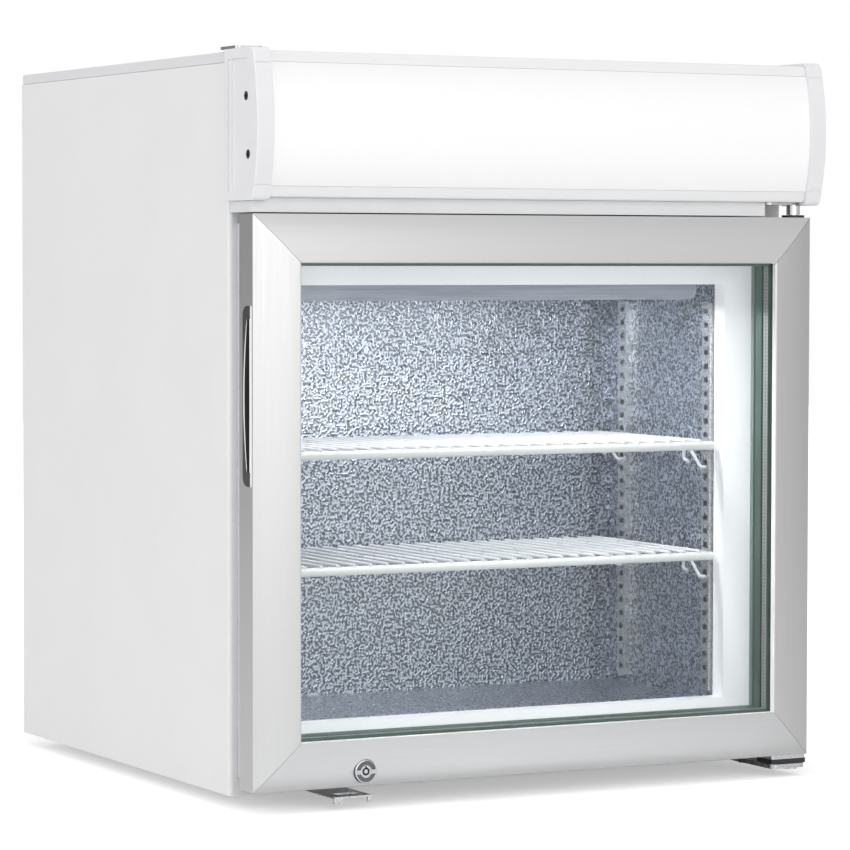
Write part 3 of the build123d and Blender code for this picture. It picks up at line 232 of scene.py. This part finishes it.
def finger_pull(node):
    """Dark grey moulded pull with a pale strip along its front edge and a pale bow behind its scoop, a painted
    highlight.
    """
    finish = Finish("pull_plastic", (0.045, 0.046, 0.048), 0.38)
    finish.set(**{"Specular IOR Level": 0.3})
    place = finish.node("ShaderNodeSeparateXYZ", Vector=finish.place).outputs
    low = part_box(node)[0]
    strip = finish.ranged(place["Y"], low.y + PULL_STRIP - 0.0003, low.y + PULL_STRIP, 0.7, 0.3)
    proud = finish.ranged(place["X"], low.x + 0.0001, low.x + 0.0003, 0.7, 0.0)
    # painted highlight: the pull's proud face is made pale behind its scoop, where light would catch its rim
    bow = finish.ranged(place["Y"], low.y + RIM_START, low.y + RIM_START + 0.001, 0.0, 1.0)
    rim_highlight = finish.maths("MULTIPLY", proud, bow)
    finish.tint(finish.maths("MAXIMUM", strip, rim_highlight), 0.0, PALE_EDGE)
    finish.rough(finish.noise(0.01, 4.0), 0.25, 0.36)
    finish.bump(finish.noise(0.0007, 2.0), 0.00002)
    finish.dress(node)


def lock_chrome(*nodes):
    """Polished chrome, rougher in both hollows of the lock's face, which are painted dark as a painted
    reflection.
    """
    finish = Finish("lock_chrome", (0.62, 0.62, 0.65), 0.1, 1.0)
    depth = finish.node("ShaderNodeSeparateXYZ", Vector=finish.place).outputs["Y"]
    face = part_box(nodes[0])[0].y
    hollow = finish.ranged(depth, face + 0.0007, face + 0.0009, 0.3, 0.7)
    # painted reflection: the hollows' colour is darkened to stand in for the dark surroundings their chrome
    # reflects; their rougher finish is real
    finish.tint(hollow, 0.0, (0.16, 0.16, 0.17))
    finish.rough(hollow, 0.1, 0.4)
    finish.bump(finish.noise(0.0016, 2.0), 0.00006)
    finish.dress(*nodes)


def spacer_bars(node):
    """Pale spacers with a row of vent holes, dark green where the sealant shows and at the inner ring."""
    finish = Finish("spacer_metal", (0.46, 0.48, 0.45), 0.4, 0.5)
    place = finish.node("ShaderNodeSeparateXYZ", Vector=finish.place).outputs
    low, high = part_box(node)
    middle = (low.y + high.y) / 2
    inner_ring = finish.ranged(place["Y"], middle - 0.0002, middle + 0.0002, 0.3, 0.7)
    sealed_face = finish.ranged(place["Y"], low.y + 0.0003, low.y + 0.0006, 0.7, 0.3)
    along = finish.maths("PINGPONG", finish.maths("ADD", place["X"], place["Z"]), VENT_PITCH / 2)
    across = finish.maths("ABSOLUTE", finish.maths("SUBTRACT", place["Y"], low.y + VENT_DEPTH))
    apart = finish.maths("ADD", along, across)
    vents = finish.ranged(apart, VENT_REACH - 0.0003, VENT_REACH, 0.66, 0.3)
    sealed = finish.maths("MAXIMUM", inner_ring, sealed_face)
    darkened = finish.maths("MAXIMUM", sealed, vents)
    finish.tint(darkened, 0.0, SEALANT_GREEN)
    finish.rough(finish.noise(0.002, 3.0), 0.3, 0.5)
    finish.dress(node)


def rubbery(name, colour, *nodes):
    """Soft vinyl or rubber: matte with a dusty sheen."""
    finish = Finish(name, colour, 0.6)
    finish.tint(finish.noise(0.01, 4.0), 0.08)
    finish.rough(finish.noise(0.004, 4.0), 0.5, 0.72)
    finish.bump(finish.noise(0.0012, 3.0), 0.00003)
    finish.dress(*nodes)


def copper(*nodes):
    """Drawn copper tube, a little tarnished."""
    finish = Finish("copper", (0.78, 0.36, 0.20), 0.28, 1.0)
    finish.tint(finish.noise(0.02, 5.0), 0.0, (0.42, 0.18, 0.10))
    finish.rough(finish.noise(0.006, 4.0), 0.2, 0.42)
    finish.dress(*nodes)


def foam(*nodes):
    """Polyurethane foam: pale yellow with open cells."""
    finish = Finish("foam", (0.78, 0.66, 0.36), 0.9)
    cells = finish.node("ShaderNodeTexVoronoi", Vector=finish.place, Scale=700.0)
    finish.tint(finish.noise(0.03, 4.0), 0.15)
    finish.bump(cells.outputs["Distance"], 0.0004)
    finish.dress(*nodes)


def lit_acrylic(name, colour, glow, *nodes):
    """Opal acrylic lit from behind: brightest in the middle of its height, falling off to its edges."""
    finish = Finish(name, colour, 0.35)
    finish.rough(finish.noise(0.01, 2.0), 0.3, 0.4)
    finish.bump(finish.noise(0.003, 1.0), 0.00001)
    low, high = (corner.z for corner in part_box(nodes[0]))
    height = finish.node("ShaderNodeSeparateXYZ", Vector=finish.place).outputs["Z"]
    off_centre = finish.maths("ABSOLUTE", finish.ranged(height, low, high, -1.0, 1.0))
    fall = finish.ranged(finish.maths("POWER", off_centre, 2.5), 0.0, 1.0, glow, glow * EDGE_GLOW)
    finish.set(**{"Emission Color": (1.0, 1.0, 1.0, 1.0), "Emission Strength": fall})
    finish.dress(*nodes)


def translucent(name, colour, clear, glow, *nodes):
    """Frosted lamp cover, faintly fluted along its length: lets part of what is behind it through."""
    finish = Finish(name, colour, 0.4)
    flutes = finish.noise(0.0022, 2.0, (0.02, 1.0, 1.0))
    finish.tint(flutes, 0.3)
    finish.bump(flutes, 0.0001)
    finish.set(**{"Alpha": clear, "Emission Color": (0.86, 0.9, 1.0, 1.0), "Emission Strength": glow})
    finish.dress(*nodes)


def pane_glass(*nodes):
    """Float glass: a faint green body that lets the studio's and the lamp's light through."""
    finish = Finish("pane_glass", (0.990, 0.996, 0.994), 0.0)
    finish.set(**{"Transmission Weight": 1.0, "IOR": 1.22})
    finish.rough(finish.noise(0.08, 4.0), 0.0, 0.004)
    path = finish.node("ShaderNodeLightPath").outputs
    mirrored = finish.maths("SUBTRACT", path["Is Glossy Ray"], path["Is Transmission Ray"])
    from_inside = finish.maths("MAXIMUM", path["Is Diffuse Ray"], mirrored)
    let_through = finish.maths("MAXIMUM", path["Is Shadow Ray"], from_inside)
    clear = finish.node("ShaderNodeBsdfTransparent", Color=(0.991, 0.996, 0.994, 1.0))
    mix = finish.node("ShaderNodeMixShader", Fac=let_through)
    finish.feed(mix.inputs[1], finish.shader.outputs[0])
    finish.feed(mix.inputs[2], clear.outputs[0])
    finish.feed(finish.output.inputs["Surface"], mix.outputs[0])
    finish.dress(*nodes)


def stucco(name, colour, *nodes):
    """Stucco-embossed aluminium: short raised worms under 3 mm wide on bright metal, painted dark as painted
    shade.
    """
    finish = Finish(name, colour, 0.26, 1.0)
    worms = finish.ranged(finish.noise(0.0026, 0.0), 0.38, 0.62, 0.0, 1.0)
    # painted shade: the raised worms are darkened to 0.3 of the metal's colour
    finish.tint(worms, 0.0, tuple(c * 0.3 for c in colour))
    finish.rough(finish.noise(0.004, 3.0), 0.22, 0.34)
    finish.bump(worms, 0.0004)
    finish.dress(*nodes)


def make_materials():
    painted("casing_paint", WHITE_PAINT, 0.42, "side_panel_left", "side_panel_right", "header_panel",
            "base_pan")
    painted("cover_paint", COVER_PAINT, 0.42, "top_cover")
    painted("canopy_paint", WHITE_PAINT, 0.34, "canopy_top_profile", "canopy_bottom_profile")
    moulded("canopy_plastic", CANOPY_PLASTIC, 0.38, "canopy_end_left", "canopy_end_right")
    moulded("trim_plastic", TRIM_PLASTIC, 0.38, "header_trim")
    moulded("white_plastic", WHITE_PLASTIC, 0.32, "led_driver")
    moulded("cavity_plastic", CAVITY_PLASTIC, 0.32, "throat_frame", glow=THROAT_GLOW)
    moulded("black_plastic", NEAR_BLACK, 0.42, "feet", "fan_blade", "thermostat_knob", "switch_housing",
            "light_switch_rocker", "cable_gland", "hinge_bushes")
    moulded("grey_plastic", (0.035, 0.035, 0.038), 0.4, "thermostat")
    finger_pull("handle_insert")
    moulded("inner_frame_plastic", INNER_FRAME, 0.4, "door_inner_frame")
    sheet_steel("galvanised", (0.60, 0.61, 0.62), 0.38, "bulkhead", "rear_panel", "fan_shroud")
    plated("plated_steel", STEEL, 0.28, "pan_head_screws", "top_hinge_bracket", "bottom_hinge_bracket",
           "lock_strike", "canopy_clip", "shelf_rails", "fan_motor", "door_hinge_plate", "lock_cam")
    plated("dark_steel", (0.10, 0.10, 0.105), 0.35, "countersunk_screws")
    plated("chromed", (0.74, 0.74, 0.76), 0.08, "hinge_pins")
    lock_chrome("lock_body", "lock_rotor")
    spacer_bars("glass_spacers")
    plated("fin_metal", (0.66, 0.66, 0.66), 0.35, "condenser")
    drawn("door_aluminium_upright", ALUMINIUM, 0.34, 2, "door_frame_left", "door_frame_right")
    drawn("door_aluminium_level", ALUMINIUM, 0.34, 0, "door_frame_top", "door_frame_bottom")
    painted("coated_wire", (0.86, 0.86, 0.87), 0.3, "shelf_clips", "upper_shelf", "lower_shelf")
    painted("black_enamel", (0.012, 0.012, 0.013), 0.25, "compressor")
    rubbery("gasket_rubber", (0.62, 0.62, 0.65), "door_gasket")
    rubbery("black_rubber", (0.02, 0.02, 0.021), "compressor_mounts")
    copper("evaporator_coil", "filter_drier", "refrigerant_tubes")
    foam("insulation_foam")
    stucco("liner_metal", (0.62, 0.66, 0.75), "liner")
    lit_acrylic("opal_acrylic", (0.62, 0.62, 0.625), 0.32, "canopy_diffuser")
    lit_acrylic("led_board", (0.9, 0.9, 0.92), 1.5, "led_strips")
    translucent("lamp_acrylic", (0.42, 0.45, 0.55), 0.8, 0.05, "lamp_cover")
    pane_glass("glass_front", "glass_inner_panes")


# ---------------------------------------------------------------- studio
def make_camera():
    """The camera at the photograph's place, turned, tipped and rolled as it was."""
    yaw, pitch, roll = (math.radians(a) for a in (CAMERA_YAW, CAMERA_PITCH, CAMERA_ROLL))
    forward = Vector((math.sin(yaw) * math.cos(pitch), math.cos(yaw) * math.cos(pitch), -math.sin(pitch)))
    level = Vector((math.cos(yaw), -math.sin(yaw), 0.0))
    upward = level.cross(forward)
    right = level * math.cos(roll) + upward * math.sin(roll)
    up = upward * math.cos(roll) - level * math.sin(roll)
    data = bpy.data.cameras.new("camera")
    data.lens = CAMERA_LENS
    data.sensor_width = 36.0
    camera = bpy.data.objects.new("camera", data)
    camera.matrix_world = Matrix.Translation(CAMERA_AT) @ Matrix((right, up, -forward)).transposed().to_4x4()
    SCENE.collection.objects.link(camera)
    SCENE.camera = camera


def soft_box(name, at, target, size, power, colour=(1.0, 1.0, 1.0)):
    """A large soft light facing a target."""
    data = bpy.data.lights.new(name, "AREA")
    data.shape = "RECTANGLE"
    data.size, data.size_y = size
    data.energy = power
    data.color = colour
    lamp = bpy.data.objects.new(name, data)
    lamp.location = at
    lamp.rotation_euler = (Vector(target) - Vector(at)).to_track_quat("-Z", "Y").to_euler()
    lamp.visible_camera = False
    SCENE.collection.objects.link(lamp)


def make_world():
    """White where the camera sees it; the light itself falls off from the front to the back."""
    world = bpy.data.worlds.new("studio")
    SCENE.world = world
    world.use_nodes = True
    tree = world.node_tree
    tree.nodes.clear()
    towards = tree.nodes.new("ShaderNodeVectorMath")
    towards.operation = "DOT_PRODUCT"
    towards.inputs[1].default_value = DARK_SIDE
    tree.links.new(tree.nodes.new("ShaderNodeTexCoord").outputs["Generated"], towards.inputs[0])
    fall = tree.nodes.new("ShaderNodeMapRange")
    for name, value in (("From Min", -1.0), ("From Max", 1.0), ("To Min", FRONT_FILL), ("To Max", BACK_FILL)):
        fall.inputs[name].default_value = value
    tree.links.new(towards.outputs["Value"], fall.inputs["Value"])
    path = tree.nodes.new("ShaderNodeLightPath")
    strength = tree.nodes.new("ShaderNodeMath")
    strength.operation = "MAXIMUM"
    tree.links.new(path.outputs["Is Camera Ray"], strength.inputs[0])
    tree.links.new(fall.outputs["Result"], strength.inputs[1])
    sky = tree.nodes.new("ShaderNodeBackground")
    sky.inputs["Color"].default_value = (1.0, 1.0, 1.0, 1.0)
    tree.links.new(strength.outputs[0], sky.inputs["Strength"])
    out = tree.nodes.new("ShaderNodeOutputWorld")
    tree.links.new(sky.outputs[0], out.inputs["Surface"])


def make_floor():
    """A pale paper floor under the object."""
    corners = ((-1, -1), (1, -1), (1, 1), (-1, 1))
    mesh = bpy.data.meshes.new("studio_floor")
    mesh.from_pydata([(x * FLOOR_REACH, y * FLOOR_REACH, 0.0) for x, y in corners], [], [(0, 1, 2, 3)])
    floor = bpy.data.objects.new("studio_floor", mesh)
    SCENE.collection.objects.link(floor)
    finish = Finish("studio_paper", (0.88, 0.88, 0.88), 0.95)
    finish.tint(finish.noise(0.4), 0.01)
    far = finish.node("ShaderNodeVectorMath", Vector=finish.place)
    far.operation = "LENGTH"
    glow = finish.ranged(far.outputs["Value"], 0.8, 3.5, 0.42, 0.9)
    seen = finish.node("ShaderNodeLightPath").outputs["Is Camera Ray"]
    strength = finish.maths("MULTIPLY", glow, seen)
    finish.set(**{"Emission Color": (1.0, 1.0, 1.0, 1.0), "Emission Strength": strength})
    dress(floor, finish.material)


def make_lights():
    target = (0.0, -0.1, 0.33)
    soft_box("key", (-0.4, -3.4, 1.4), target, (3.4, 2.6), 29.0)
    soft_box("side_fill", (-3.2, -0.2, 1.6), target, (2.6, 2.6), 30.0)
    soft_box("overhead", (0.0, 0.3, 3.4), target, (3.5, 3.5), 26.0)
    low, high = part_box("lamp_cover")
    middle = (low + high) / 2
    below_cover = (0.0, middle.y, low.z - 0.004)
    cavity_floor = (0.0, middle.y + 0.02, 0.0)
    soft_box("cavity_lamp", below_cover, cavity_floor, (high.x - low.x - 0.06, 0.03), 1.5, COOL_WHITE)


make_camera()
make_world()
make_floor()
make_lights()
make_materials()
SCENE.view_settings.view_transform = "Standard"
